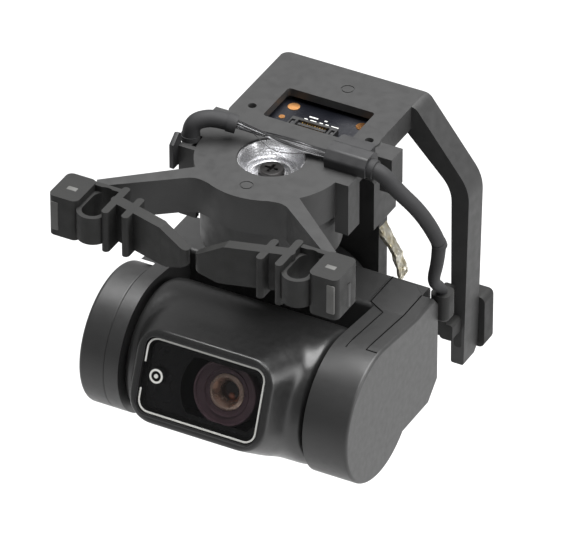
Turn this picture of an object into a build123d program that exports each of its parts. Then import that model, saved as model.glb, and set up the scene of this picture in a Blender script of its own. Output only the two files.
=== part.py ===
from build123d import *
import os
from math import acos, atan2, cos, degrees, hypot, pi, radians, sin, tan

os.makedirs("parts", exist_ok=True)

# Three-axis camera gimbal, in millimetres. +Z is up, the camera looks along -Y.
# The origin lies midway between the two front damper eyes, on the plane of their rims.

# ---- driving dimensions -------------------------------------------------------------
frame_top = 0.5            # upper face of the suspension frame
plate_t = 1.2              # wall of the frame's plates
yaw_y = 20.0               # yaw axis, vertical through (0, yaw_y)
pitch_y = 12.7             # pitch axis, along X
pitch_z = -30.1            # pitch and roll axes lie at this height
camera_tilt = 21.0         # how far the camera looks up at rest
yoke_half = 20.5           # half the width over the two pitch housings
housing_r = 10.0           # radius of the pitch housings
camera_r = 9.7             # radius of the camera's barrel
camera_left = -14.0        # ends of the camera's barrel
camera_right = 13.5
window_reach = 13.9        # from the pitch axis to the window's face
shaft_gap = 0.03           # radial clearance of each shaft in its bearings


def save(built, name):
    built.part.label = name
    export_step(built.part, f"parts/{name}.step")


def slot_between(x1, y1, x2, y2, width):
    """A slot from one point to another, for use inside a sketch."""
    run = Vector(x2 - x1, y2 - y1)
    with Locations(((x1 + x2) / 2, (y1 + y2) / 2)):
        SlotCenterToCenter(run.length, width, rotation=degrees(atan2(run.Y, run.X)))


# ---- planes of the three motors -----------------------------------------------------
def yaw_plane(z):
    return Plane(origin=(0, yaw_y, z), x_dir=(1, 0, 0), z_dir=(0, 0, 1))


def roll_plane(y):
    """Faces +Y, so that extrusions run to the rear."""
    return Plane(origin=(0, y, pitch_z), x_dir=(1, 0, 0), z_dir=(0, 1, 0))


def pitch_plane(x):
    """Faces +X; its own X axis runs to the rear and its Y axis up."""
    return Plane(origin=(x, pitch_y, pitch_z), x_dir=(0, 1, 0), z_dir=(1, 0, 0))


tilt = radians(camera_tilt)


def lens_plane(reach):
    """Square to the lens axis; its own X axis is +X and its Y axis up."""
    return Plane(origin=(0, pitch_y - reach * cos(tilt), pitch_z + reach * sin(tilt)),
                 x_dir=(1, 0, 0), z_dir=(0, -cos(tilt), sin(tilt)))


# ---- motor pieces, each used by two or three motors ---------------------------------
tooth_count = 9
tooth_width = 1.1
coil_side = 0.55


def stator_core(plane, length, tube_r, tip_r):
    """Laminated core: a ring on the bearing tube, and teeth that end in wider tips."""
    tip_depth = 0.5
    with BuildPart(plane) as core:
        with BuildSketch(plane):
            Circle(tube_r + 0.9)
            with PolarLocations((tube_r + tip_r) / 2, tooth_count):
                Rectangle(tip_r - tube_r - 0.4, tooth_width)
            with PolarLocations(tip_r - tip_depth, tooth_count):
                Rectangle(tip_depth, tooth_width * 2.4)
            Circle(tube_r, mode=Mode.SUBTRACT)
        extrude(amount=length)
    return core


def stator_coils(plane, length, tube_r, tip_r):
    """One wound coil round each tooth, standing a little proud of the core."""
    inner = tube_r + 1.0
    outer = tip_r - 0.85
    with BuildPart() as coils:
        with BuildSketch(plane.offset(-coil_side)):
            with PolarLocations((inner + outer) / 2, tooth_count):
                Rectangle(outer - inner, tooth_width + 2 * coil_side)
        extrude(amount=length + 2 * coil_side)
        with BuildSketch(plane):
            with PolarLocations((inner + outer) / 2, tooth_count):
                Rectangle(outer - inner + 1, tooth_width)
        extrude(amount=length, mode=Mode.SUBTRACT)
    return coils


def ring(plane, length, outer_r, inner_r):
    with BuildPart() as band:
        with BuildSketch(plane):
            Circle(outer_r)
            Circle(inner_r, mode=Mode.SUBTRACT)
        extrude(amount=length)
    return band


def bearing(plane, length, outer_r, inner_r):
    """A shielded ball bearing: one ring with a shallow groove in each face."""
    groove_deep = 0.08
    mid_r = (outer_r + inner_r) / 2
    with BuildPart() as race:
        with BuildSketch(plane):
            Circle(outer_r)
            Circle(inner_r, mode=Mode.SUBTRACT)
        extrude(amount=length)
        for level, depth in ((0, groove_deep), (length - groove_deep, groove_deep)):
            with BuildSketch(plane.offset(level)):
                Circle(mid_r + 0.18)
                Circle(mid_r - 0.18, mode=Mode.SUBTRACT)
            extrude(amount=depth, mode=Mode.SUBTRACT)
    return race


def cross_head(plane, head_r, head_t, shank_r, shank_length):
    """A flat-headed screw with a cross recess; the plane is the head's top."""
    recess = head_r * 1.1
    blade = head_r * 0.24
    with BuildPart() as screw:
        with BuildSketch(plane.offset(-head_t)):
            Circle(head_r)
        extrude(amount=head_t)
        chamfer(screw.edges().group_by(SortBy.LENGTH)[-1].sort_by(plane_height(plane))[-1], head_t * 0.2)
        with BuildSketch(plane.offset(-head_t - shank_length)):
            Circle(shank_r)
        extrude(amount=shank_length)
        with BuildSketch(plane):
            Rectangle(recess, blade)
            Rectangle(blade, recess)
        extrude(amount=-head_t * 0.55, mode=Mode.SUBTRACT)
    return screw


def plane_height(plane):
    """Sort key: how far an edge's middle stands out along the plane's normal."""
    return lambda edge: (edge.center() - plane.origin).dot(plane.z_dir)


# ---- suspension frame ---------------------------------------------------------------
hub_r = 10.4
skirt_in = 9.95
skirt_low = -5.0
yaw_hole_r = 4.66
wave_mid = (0, 9.95)       # the frame's front edge is a soft wave between the two arms
wave_foot = (1.4, 9.95)
wave_crest = (6.7, 11.1)
arm_front = (17.0, 3.2)    # the arm's end, at its front and rear corners
arm_rear = (18.0, 4.4)
arm_crotch = (7.6, 13.4)
arm_tip = (17.9, 3.4)      # where each front arm enters its damper block
tongue = (1.3, 3.6)        # the arm's end blade inside the damper: thickness, height
tongue_top = -1.2
tongue_end = (21.2, 0.9)
side_out = 12.3            # outside of the walls beside the yaw motor
left_wall_t = 1.5
left_front = 16.6
left_back = 26.0
left_low = -10.5
left_lip = (-9.7, 17.4)    # the left wall's front edge turns in to here
post_in = 10.3             # short post below the cable clamp on the right
post_front = 18.7
post_back = 21.9
post_low = -7.5
hook_x = (12.6, 14.4)      # block behind the clamp that guides the cable
hook_y = (27.2, 30.4)
hook_low = -5.2
deck_left = -10.6
deck_right = 11.0
deck_front = 26.7
deck_back = 43.7
deck_low = -3.1
deck_corner = 1.2
deck_x = 0.8               # the deck's window and screw holes are centred on this
window_w = 13.2
window_d = 7.5
window_y = 32.1
deck_screw_y = 29.7
deck_screw_pitch = 17.8
deck_screw_r = 0.6
boss_r = 1.5
strip_front = 39.5         # the drop arm is a strip along this band of Y
strip_t = 2.7
slant_top = deck_right + 0.6
drop_out = 19.9
drop_bend = -10.4
drop_low = -39.6
drop_taper = 0.5           # how much thinner the foot is, on each side
drop_web = 3.1             # thickness of the arm where it leaves the deck
foot_chamfer = 1.2
plug_slot = (1.2, 4.4)     # slot through the foot for the rear damper
rear_damper_x = drop_out - strip_t / 2 - 0.1
rear_damper_z = -34.6
mark_r = 0.95              # ring marks left by the mould's pins
mark_places = ((0.2, 12.6), (deck_x + 0.6, 39.3))


def frame_plan():
    """Plan of the hub and the two front arms that run forward from it."""
    with Locations((0, yaw_y)):
        Circle(hub_r)
    with BuildLine(mode=Mode.PRIVATE) as edge:
        FilletPolyline(wave_mid, wave_foot, wave_crest, arm_front, radius=(5.0, 2.6))
        Polyline(arm_front, arm_rear, arm_crotch, (0, arm_crotch[1]), wave_mid)
    half = make_face(edge.edges())
    mirror(half, about=Plane.YZ)


def slab(x_span, y_span, low, high):
    """A square block between two levels, for use inside a part."""
    with Locations((sum(x_span) / 2, sum(y_span) / 2, (low + high) / 2)):
        Box(x_span[1] - x_span[0], y_span[1] - y_span[0], high - low)


with BuildPart() as suspension_frame:
    # hub plate with its arms, and the skirt round the yaw motor below it
    with BuildSketch(Plane.XY.offset(frame_top - plate_t)):
        frame_plan()
    extrude(amount=plate_t)
    with BuildSketch(Plane.XY.offset(skirt_low)):
        frame_plan()
        with Locations((0, yaw_y)):
            Circle(skirt_in, mode=Mode.SUBTRACT)
    extrude(amount=frame_top - plate_t - skirt_low)
    # bridge to the deck, wall on the left, post and hook block on the right
    slab((-side_out, side_out), (yaw_y, deck_front + 0.5), frame_top - plate_t, frame_top)
    slab((-side_out, left_wall_t - side_out), (left_front, left_back), left_low, frame_top)
    slab((-side_out, left_lip[0]), (left_front, left_lip[1]), left_low, frame_top)
    slab((post_in, side_out), (post_front, post_back), post_low, frame_top)
    slab((deck_right - 0.5, hook_x[1]), hook_y, frame_top - plate_t, frame_top - 0.3)
    slab(hook_x, hook_y, hook_low, frame_top - 0.3)
    # rear deck: a tray with a plate on top and walls round it
    with BuildSketch(Plane.XY.offset(deck_low)):
        with Locations(((deck_left + deck_right) / 2, (deck_front + deck_back) / 2)):
            RectangleRounded(deck_right - deck_left, deck_back - deck_front, deck_corner)
    extrude(amount=frame_top - deck_low)
    with BuildSketch(Plane.XY.offset(deck_low)):
        with Locations(((deck_left + deck_right) / 2, (deck_front + deck_back) / 2)):
            Rectangle(deck_right - deck_left - 2 * plate_t, deck_back - deck_front - 2 * plate_t)
    extrude(amount=frame_top - plate_t - deck_low, mode=Mode.SUBTRACT)
    # bosses round the two deck screws
    with BuildSketch(Plane.XY.offset(deck_low)):
        with Locations((deck_x, deck_screw_y)):
            with GridLocations(deck_screw_pitch, 0, 2, 1):
                Circle(boss_r)
    extrude(amount=frame_top - deck_low)
    # drop arm: across the back of the deck, then in two soft bends down the right side
    drop_in = drop_out - strip_t
    with BuildSketch(Plane.XZ.offset(-deck_back)):
        with BuildLine():
            FilletPolyline((0, frame_top), (slant_top, frame_top), (drop_out, drop_bend),
                           (drop_out - drop_taper, drop_low), (drop_in + drop_taper / 2, drop_low),
                           (drop_in, drop_bend - 0.6), (slant_top - 2.4, frame_top - drop_web),
                           (0, frame_top - drop_web),
                           radius=(0.3, 1.5, 6.0, 0.3, 0.3, 5.0, 2.5, 0.3), close=True)
        make_face()
    extrude(amount=deck_back - strip_front)
    with BuildSketch(Plane.YZ.offset(drop_out)):
        with BuildLine():
            Polyline((deck_back, drop_low + foot_chamfer), (deck_back, drop_low),
                     (deck_back - foot_chamfer, drop_low), close=True)
        make_face()
    extrude(amount=-2 * strip_t, mode=Mode.SUBTRACT)
    # seat of the yaw bearing cup
    with BuildSketch(Plane.XY.offset(-3.0)):
        with Locations((0, yaw_y)):
            Circle(yaw_hole_r + 1.1)
    extrude(amount=3.0)
    # holes for the cup, the board's plug and the deck screws
    with BuildSketch(Plane.XY.offset(frame_top)):
        with Locations((0, yaw_y)):
            Circle(yaw_hole_r)
        with Locations((deck_x, window_y)):
            RectangleRounded(window_w, window_d, 0.5)
        with Locations((deck_x, deck_screw_y)):
            with GridLocations(deck_screw_pitch, 0, 2, 1):
                Circle(deck_screw_r)
    extrude(amount=2 * skirt_low, mode=Mode.SUBTRACT)
    # slot for the rear damper's plug
    with BuildSketch(Plane.XZ.offset(-deck_back)):
        with Locations((rear_damper_x, rear_damper_z)):
            RectangleRounded(*plug_slot, plug_slot[0] * 0.4)
    extrude(amount=deck_back - strip_front, mode=Mode.SUBTRACT)
    # blades that hold the damper blocks
    for side in (-1, 1):
        with BuildSketch(Plane.XY.offset(tongue_top - tongue[1])):
            slot_between(side * arm_tip[0], arm_tip[1], side * tongue_end[0], tongue_end[1], tongue[0])
        extrude(amount=tongue[1])
    # shallow ring marks
    with BuildSketch(Plane.XY.offset(frame_top)):
        with Locations(*mark_places):
            Circle(mark_r)
            Circle(mark_r - 0.2, mode=Mode.SUBTRACT)
    extrude(amount=-0.12, mode=Mode.SUBTRACT)
save(suspension_frame, "suspension_frame")

# ---- dampers ------------------------------------------------------------------------
damper_top = 1.1
damper_low = -5.2
block_x = (17.3, 21.7)     # rubber block that takes the arm's blade
block_y = (-2.4, 3.5)
loop_x = 15.4              # middle of the eye
loop_y = (-1.4, 1.4)       # centres of the eye's two round ends
loop_out = 2.2
eye_r = 1.5
loop_top = 0.0
loop_low = -4.2
ridge_low = damper_low
ridge_out = (13.0, -2.2, 3.4)   # each ridge: X, and its two ends along Y
ridge_in = (10.1, -2.0, 2.0)
ridge_t = 1.1
tail_start = (12.9, 0.8)
tail_bend = (4.6, -1.5)
tail_end = (1.4, -2.0)
tail_t = 1.7
tail_low = damper_low + 0.4
wedge_x = 4.8              # the tail thins to a wedge from here to its end
wedge_top = -1.4
wedge_low = -3.4
brace_y = 3.1


def front_damper(side):
    """Rubber damper: block on the arm's blade, open eye, two ridges and a wedge-ended tail."""
    with BuildPart() as damper:
        with BuildSketch(Plane.XY.offset(damper_low)):
            with Locations((side * sum(block_x) / 2, sum(block_y) / 2)):
                RectangleRounded(block_x[1] - block_x[0], block_y[1] - block_y[0], 0.9)
        extrude(amount=damper_top - damper_low)
        with BuildSketch(Plane.XY.offset(loop_low)):
            slot_between(side * loop_x, loop_y[0], side * loop_x, loop_y[1], 2 * loop_out)
        extrude(amount=loop_top - loop_low)
        with BuildSketch(Plane.XY.offset(loop_low)):
            slot_between(side * (block_x[0] + 0.6), brace_y, side * ridge_out[0], brace_y, 0.8)
        extrude(amount=damper_top - 0.2 - loop_low)
        with BuildSketch(Plane.XY.offset(tail_low)):
            slot_between(side * tail_start[0], tail_start[1], side * tail_bend[0], tail_bend[1], tail_t)
            slot_between(side * tail_bend[0], tail_bend[1], side * tail_end[0], tail_end[1], tail_t)
        extrude(amount=damper_top - tail_low)
        with BuildSketch(Plane.XY.offset(ridge_low)):
            for x, front, rear in (ridge_out, ridge_in):
                slot_between(side * x, front, side * x, rear, ridge_t)
        extrude(amount=damper_top - ridge_low)
        # the eye
        with BuildSketch(Plane.XY.offset(damper_top)):
            slot_between(side * loop_x, loop_y[0], side * loop_x, loop_y[1], 2 * eye_r)
        extrude(amount=damper_low - damper_top, mode=Mode.SUBTRACT)
        # the tail's end is a wedge, above and below
        for level, tip_z in ((damper_top, wedge_top), (damper_low, wedge_low)):
            with BuildSketch(Plane.XZ.offset(6)):
                with BuildLine():
                    beyond = level + (level - tip_z) / 2
                    Polyline((side * wedge_x, level), (side * 0.2, tip_z), (side * 0.2, beyond),
                             (side * wedge_x, beyond), close=True)
                make_face()
            extrude(amount=-12, mode=Mode.SUBTRACT)
        add(suspension_frame.part, mode=Mode.SUBTRACT)
    return damper


for side, hand in ((-1, "left"), (1, "right")):
    save(front_damper(side), f"damper_{hand}")

# rear damper: a block behind the drop arm's foot, a plug through it and a bump head in front
rear_block = (4.0, 8.3)    # width and height
rear_block_d = 3.3
head_size = (1.7, 7.2)
head_d = 2.6
with BuildPart() as damper_rear:
    with BuildSketch(Plane.XZ.offset(-deck_back)):
        with Locations((rear_damper_x, rear_damper_z - 0.2)):
            RectangleRounded(*rear_block, 0.9)
    extrude(amount=-rear_block_d)
    fillet(damper_rear.faces().sort_by(Axis.Y)[-1].edges(), 0.85)
    with BuildSketch(Plane.XZ.offset(-deck_back)):
        with Locations((rear_damper_x, rear_damper_z)):
            RectangleRounded(*plug_slot, plug_slot[0] * 0.4)
    extrude(amount=deck_back - strip_front)
    with BuildSketch(Plane.XZ.offset(-strip_front)):
        with Locations((rear_damper_x - 1.3, rear_damper_z + 4.5)):
            RectangleRounded(*head_size, 0.5)
        with Locations((rear_damper_x - 0.5, rear_damper_z + 1.8)):
            RectangleRounded(2.0, 2.6, 0.5)
    extrude(amount=head_d)
save(damper_rear, "damper_rear")

# ---- control board in the rear deck --------------------------------------------------
board_top = -1.5
board_t = 0.8
board_size = (15.6, 12.4)
board_y = 34.2
with BuildPart() as control_board:
    with BuildSketch(Plane.XY.offset(board_top - board_t)):
        with Locations((deck_x, board_y)):
            RectangleRounded(*board_size, 0.4)
    extrude(amount=board_t)
    with BuildSketch(Plane.XY.offset(board_top - board_t)):
        with Locations((deck_x, deck_screw_y)):
            with GridLocations(deck_screw_pitch, 0, 2, 1):
                Circle(boss_r + 0.1)
    extrude(amount=board_t, mode=Mode.SUBTRACT)
    add(suspension_frame.part, mode=Mode.SUBTRACT)
save(control_board, "control_board")

connector_w = 7.0
connector_d = 2.5
connector_h = 0.9
connector_y = 30.4
connector_x = deck_x - 0.2
contact_rows = (-0.55, 0.55)
contact_count = 10
contact_pitch = 0.4
with BuildPart() as board_connector:
    with BuildSketch(Plane.XY.offset(board_top)):
        with Locations((connector_x, connector_y)):
            RectangleRounded(connector_w, connector_d, 0.2)
    extrude(amount=connector_h)
    with BuildSketch(Plane.XY.offset(board_top + connector_h)):
        with Locations((connector_x, connector_y)):
            Rectangle(connector_w - 2.2, 1.5)
    extrude(amount=-0.6, mode=Mode.SUBTRACT)
    with BuildSketch(Plane.XY.offset(board_top + connector_h)):
        with Locations((connector_x, connector_y)):
            with GridLocations(connector_w - 1.0, 0, 2, 1):
                Rectangle(0.55, 1.2)
    extrude(amount=-0.35, mode=Mode.SUBTRACT)
    with BuildSketch(Plane.XY.offset(board_top + connector_h - 0.6)):
        with Locations((connector_x, connector_y)):
            Rectangle(connector_w - 2.8, 0.5)
    extrude(amount=0.5)
save(board_connector, "board_connector")

with BuildPart() as board_contacts:
    for row in contact_rows:
        with BuildSketch(Plane.XY.offset(board_top + connector_h - 0.6)):
            with Locations((connector_x, connector_y + row)):
                with GridLocations(contact_pitch, 0, contact_count, 1):
                    Rectangle(0.2, 0.32)
        extrude(amount=0.35)
save(board_contacts, "board_contacts")

with BuildPart() as board_pads:
    with BuildSketch(Plane.XY.offset(board_top)):
        with Locations((deck_x - 5.2, window_y + 2.6), (deck_x + 5.2, window_y + 2.6)):
            Circle(0.85)
        with Locations((deck_x - 5.5, window_y - 0.3), (deck_x + 5.0, window_y - 3.0)):
            Circle(0.42)
    extrude(amount=0.08)
save(board_pads, "board_pads")

# ---- yaw motor, fixed half -----------------------------------------------------------
tube_r = 2.75              # bearing tubes: outside, and the bearings' seat
seat_r = 2.15
yaw_tube_low = -10.0
bearing_h = 1.1
cup_floor = -3.0
with BuildPart() as yaw_bearing_cup:
    with BuildSketch(Plane.YZ):
        with BuildLine():
            Polyline((yaw_y + seat_r, yaw_tube_low), (yaw_y + tube_r, yaw_tube_low),
                     (yaw_y + tube_r, cup_floor - 0.6), (yaw_y + yaw_hole_r, cup_floor - 0.6),
                     (yaw_y + yaw_hole_r, 0.15), (yaw_y + yaw_hole_r - 0.35, 0.15),
                     (yaw_y + yaw_hole_r - 0.6, -0.2), (yaw_y + yaw_hole_r - 0.75, -1.6),
                     (yaw_y + 3.1, -2.1), (yaw_y + 3.1, -2.6), (yaw_y + seat_r, -2.6), close=True)
        make_face()
    revolve(axis=Axis((0, yaw_y, 0), (0, 0, 1)))
save(yaw_bearing_cup, "yaw_bearing_cup")
shaft_r = 1.0
save(bearing(yaw_plane(-2.7 - bearing_h), bearing_h, seat_r, shaft_r), "yaw_bearing_upper")
save(bearing(yaw_plane(yaw_tube_low), bearing_h, seat_r, shaft_r), "yaw_bearing_lower")
yaw_tip_r = 7.5
yaw_core = yaw_plane(-9.0)
save(stator_core(yaw_core, 2.4, tube_r, yaw_tip_r), "yaw_stator")
save(stator_coils(yaw_core, 2.4, tube_r, yaw_tip_r), "yaw_coils")

# ---- yaw arm, which carries the roll motor ------------------------------------------
bell_r = 9.6
bell_in = 8.6
bell_low = -12.0
bell_floor = -10.8
bell_top = -3.5
neck_half = 6.0
neck_top = -7.4
box_half = 9.6             # the box behind the motor, and the wall that drops from it
box_front = 31.4
box_back = 37.9
box_low = -17.3
wall_front = 35.4
roll_housing_r = 8.7
with BuildPart() as yaw_arm:
    with BuildSketch(yaw_plane(bell_low)):
        Circle(bell_r)
    extrude(amount=bell_top - bell_low)
    fillet(yaw_arm.edges().group_by(Axis.Z)[0], 0.5)
    with BuildSketch(Plane.XY.offset(bell_low)):
        with Locations((0, (yaw_y + 7 + box_back) / 2)):
            Rectangle(2 * neck_half, box_back - yaw_y - 7)
    extrude(amount=neck_top - bell_low)
    with BuildSketch(Plane.XZ.offset(-box_front)):
        with BuildLine():
            FilletPolyline((-box_half, neck_top), (box_half, neck_top), (box_half, box_low + 2.0),
                           (box_half - 1.6, box_low), (1.6 - box_half, box_low), (-box_half, box_low + 2.0),
                           radius=0.5, close=True)
        make_face()
    extrude(amount=box_front - box_back)
    with BuildSketch(Plane.XZ.offset(-wall_front)):
        with Locations((0, pitch_z)):
            Circle(roll_housing_r)
        with Locations((0, (box_low + pitch_z) / 2)):
            Rectangle(2 * roll_housing_r - 0.8, box_low - pitch_z)
    extrude(amount=wall_front - box_back)
    # hollow of the box, open at its bottom front
    with BuildSketch(Plane.XY.offset(box_low)):
        with Locations((0, (box_front + wall_front) / 2 + 0.6)):
            Rectangle(2 * box_half - 2.4, wall_front - box_front - 1.2)
    extrude(amount=neck_top - box_low - 1.4, mode=Mode.SUBTRACT)
    # bore of the bell
    with BuildSketch(yaw_plane(bell_floor)):
        Circle(bell_in)
    extrude(amount=bell_top - bell_floor, mode=Mode.SUBTRACT)
    # bearing tube of the roll motor and its bore
    with BuildSketch(roll_plane(33.2)):
        Circle(tube_r)
    extrude(amount=wall_front - 33.2)
    with BuildSketch(roll_plane(33.2)):
        Circle(seat_r)
    extrude(amount=box_back - 33.2, mode=Mode.SUBTRACT)
    # recess for the rear cover
    with BuildSketch(roll_plane(box_back)):
        Circle(6.4)
    extrude(amount=-0.9, mode=Mode.SUBTRACT)
save(yaw_arm, "yaw_arm")

save(ring(yaw_plane(bell_floor + 0.4), 5.0, bell_in, yaw_tip_r + 0.35), "yaw_magnet_ring")
yaw_shaft_top = -2.65
with BuildPart() as yaw_shaft:
    with BuildSketch(yaw_plane(bell_floor)):
        Circle(2.0)
    extrude(amount=0.5)
    with BuildSketch(yaw_plane(bell_floor)):
        Circle(shaft_r - shaft_gap)
    extrude(amount=yaw_shaft_top - bell_floor)
save(yaw_shaft, "yaw_shaft")
washer_t = 0.25
save(ring(yaw_plane(yaw_shaft_top), washer_t, 2.0, 0.45), "yaw_washer")
with BuildPart() as yaw_screw:
    add(cross_head(yaw_plane(-1.2), 1.8, 1.2, 0.45, washer_t).part)
save(yaw_screw, "yaw_screw")

roll_tip_r = 6.4
roll_core = roll_plane(33.9)
core_length = 1.1
roll_stator = stator_core(roll_core, core_length, tube_r, roll_tip_r)
save(roll_stator, "roll_stator")
with BuildPart() as roll_coils:
    add(stator_coils(roll_core, core_length, tube_r, roll_tip_r).part)
    with BuildSketch(roll_plane(wall_front - 0.1)):
        Circle(roll_housing_r)
    extrude(amount=2, mode=Mode.SUBTRACT)
save(roll_coils, "roll_coils")
save(bearing(roll_plane(33.2), bearing_h, seat_r, shaft_r), "roll_bearing_front")
save(bearing(roll_plane(36.9 - bearing_h), bearing_h, seat_r, shaft_r), "roll_bearing_rear")
with BuildPart() as roll_cover:
    with BuildSketch(roll_plane(box_back - 0.9)):
        Circle(6.4)
    extrude(amount=1.1)
    fillet(roll_cover.faces().sort_by(Axis.Y)[-1].edges(), 0.3)
    with BuildSketch(roll_plane(box_back - 0.9)):
        Circle(2.6)
    extrude(amount=0.5, mode=Mode.SUBTRACT)
save(roll_cover, "roll_cover")

# crumpled shielding foil round the flexible circuit beside the roll motor
with BuildPart() as shield_foil:
    with BuildSketch(Plane.XZ.offset(-wall_front - 0.2)):
        with BuildLine():
            Polyline((box_half - 1.6, box_low), (box_half + 1.3, -22.0), (box_half + 2.0, -25.2),
                     (box_half + 0.6, -28.2), (box_half + 0.2, -28.2), (box_half + 1.5, -25.2),
                     (box_half + 0.8, -22.2), (box_half - 2.2, box_low), close=True)
        make_face()
    extrude(amount=-2.0)
    add(yaw_arm.part, mode=Mode.SUBTRACT)
save(shield_foil, "shield_foil")

# ---- roll yoke ----------------------------------------------------------------------
yoke_top = -21.3
yoke_low = -37.6
bar_front = 23.3           # the thick crossbar behind the camera
bar_back = 31.0
arm_gap = 0.35             # running gap between the camera and the arms
left_in = camera_left - arm_gap
right_in = camera_right + arm_gap
left_seam = -16.5          # where the left cap meets the yoke
right_seam = 18.5          # where the right side plate meets the yoke
rear_left = -18.7
cavity_r = 8.5
skin = 0.9
arm_top = yoke_top - pitch_z       # the arms' top, back and bottom, measured from the pitch axis
arm_back = bar_back - pitch_y - 1.3
arm_bottom = yoke_low - pitch_z
shoulder = bar_front - pitch_y
# direction of the point where the arm's straight top leaves the round housing
arm_lean = atan2(arm_top, shoulder) + acos(housing_r / hypot(shoulder, arm_top))
cover_t = 0.35


def arm_outline():
    """Side view of an arm: the round housing and the body that runs back from it."""
    Circle(housing_r)
    with BuildLine(mode=Mode.PRIVATE) as body:
        Polyline((housing_r * cos(arm_lean), housing_r * sin(arm_lean)), (shoulder, arm_top),
                 (arm_back - 1.2, arm_top), (arm_back, arm_top - 1.4), (arm_back, -4.9),
                 (arm_back - 2.8, arm_bottom), (5.0, arm_bottom), (0, 0), close=True)
    make_face(body.edges())


# cover let into the top of the yoke's right shoulder
def arm_cover_outline():
    with BuildLine(mode=Mode.PRIVATE) as edge:
        Polyline((12.7, 24.1), (14.0, 23.2), (right_seam, 23.2), (right_seam, 28.6), (16.6, 30.4),
                 (12.7, 30.4), close=True)
    make_face(edge.edges())


with BuildPart() as arm_cover:
    with BuildSketch(Plane.XY.offset(yoke_top - cover_t)):
        arm_cover_outline()
    extrude(amount=cover_t)
save(arm_cover, "arm_cover")

with BuildPart() as roll_yoke:
    with BuildSketch(pitch_plane(right_in)):
        arm_outline()
    extrude(amount=right_seam - right_in)
    with BuildSketch(pitch_plane(left_seam)):
        arm_outline()
    extrude(amount=left_in - left_seam)
    with BuildSketch(pitch_plane(rear_left)):
        arm_outline()
        Circle(housing_r + 0.6, mode=Mode.SUBTRACT)
        with Locations((-5, 0)):
            Rectangle(14, 30, mode=Mode.SUBTRACT)
    extrude(amount=left_in - rear_left)
    # crossbar
    with BuildSketch(Plane.YZ.offset(rear_left)):
        with BuildLine():
            FilletPolyline((bar_front, yoke_top), (bar_back, yoke_top), (bar_back, yoke_low + 2.0),
                           (bar_back - 2.0, yoke_low), (bar_front + 1.8, yoke_low),
                           (bar_front, yoke_low + 1.8), radius=0.6, close=True)
        make_face()
    extrude(amount=right_seam - rear_left)
    # hollows: crossbar, pitch motor, left pivot
    with BuildSketch(Plane.XY.offset(yoke_low + skin)):
        with Locations((0, (bar_front + bar_back) / 2)):
            Rectangle(24, bar_back - bar_front - 2 * skin)
    extrude(amount=yoke_top - yoke_low - 2 * skin, mode=Mode.SUBTRACT)
    with BuildSketch(pitch_plane(right_in + 1.0)):
        Circle(cavity_r)
    extrude(amount=6, mode=Mode.SUBTRACT)
    # bearing tube of the pitch motor
    with BuildSketch(pitch_plane(right_in)):
        Circle(2.4)
    extrude(amount=right_seam - right_in - 0.3)
    with BuildSketch(pitch_plane(right_in)):
        Circle(1.8)
    extrude(amount=right_seam - right_in, mode=Mode.SUBTRACT)
    # seat of the left pivot bearing
    with BuildSketch(pitch_plane(left_in)):
        Circle(2.6)
    extrude(amount=-3, mode=Mode.SUBTRACT)
    # pocket of the arm cover, open above
    with BuildSketch(Plane.XY.offset(yoke_top - cover_t)):
        arm_cover_outline()
    extrude(amount=3, mode=Mode.SUBTRACT)
    # rotor cup of the roll motor
    with BuildSketch(roll_plane(bar_back - 0.2)):
        Circle(8.2)
    extrude(amount=wall_front - 0.45 - bar_back + 0.2)
    with BuildSketch(roll_plane(bar_back + 0.9)):
        Circle(7.5)
    extrude(amount=4, mode=Mode.SUBTRACT)
    with BuildSketch(roll_plane(bar_back + 0.9)):
        Circle(shaft_r - shaft_gap)
    extrude(amount=-1.8, mode=Mode.SUBTRACT)
save(roll_yoke, "roll_yoke")

save(ring(roll_plane(bar_back + 1.2), 2.6, 7.5, roll_tip_r + 0.35), "roll_magnet_ring")
with BuildPart() as roll_shaft:
    with BuildSketch(roll_plane(bar_back - 0.9)):
        Circle(shaft_r - shaft_gap)
    extrude(amount=37.0 - bar_back + 0.9)
save(roll_shaft, "roll_shaft")
with BuildPart() as roll_screw:
    with BuildSketch(roll_plane(37.0)):
        Circle(1.7)
    extrude(amount=0.25)
save(roll_screw, "roll_screw")

# cover plate over the right arm, with the disc that closes the pitch motor
with BuildPart() as pitch_motor_cap:
    with BuildSketch(pitch_plane(right_seam)):
        arm_outline()
    extrude(amount=yoke_half - right_seam)
    fillet(pitch_motor_cap.faces().sort_by(Axis.X)[-1].edges(), 0.45)
    with BuildSketch(pitch_plane(right_seam)):
        Circle(cavity_r)
    extrude(amount=yoke_half - right_seam - skin, mode=Mode.SUBTRACT)
save(pitch_motor_cap, "pitch_motor_cap")

# left cap: a deep cup over the pivot side
with BuildPart() as pivot_cap_left:
    with BuildSketch(pitch_plane(left_seam)):
        Circle(housing_r)
    extrude(amount=-yoke_half - left_seam)
    fillet(pivot_cap_left.faces().sort_by(Axis.X)[0].edges(), 0.6)
    with BuildSketch(pitch_plane(left_seam)):
        Circle(cavity_r)
    extrude(amount=-yoke_half - left_seam + skin, mode=Mode.SUBTRACT)
save(pivot_cap_left, "pivot_cap_left")

# pitch motor, fixed half
pitch_tube_r = 2.4
pitch_seat_r = 1.8
pitch_shaft_r = 0.8
pitch_tip_r = 6.6
pitch_core = pitch_plane(15.9)
pitch_length = 1.2
save(stator_core(pitch_core, pitch_length, pitch_tube_r, pitch_tip_r), "pitch_stator")
save(stator_coils(pitch_core, pitch_length, pitch_tube_r, pitch_tip_r), "pitch_coils")
save(bearing(pitch_plane(right_in), 1.0, pitch_seat_r, pitch_shaft_r), "pitch_bearing_inner")
save(bearing(pitch_plane(right_seam - 1.3), 1.0, pitch_seat_r, pitch_shaft_r), "pitch_bearing_outer")
pivot_r = 1.3
save(bearing(pitch_plane(left_seam + 0.4), 1.4, 2.6, pivot_r), "pivot_bearing")

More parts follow.
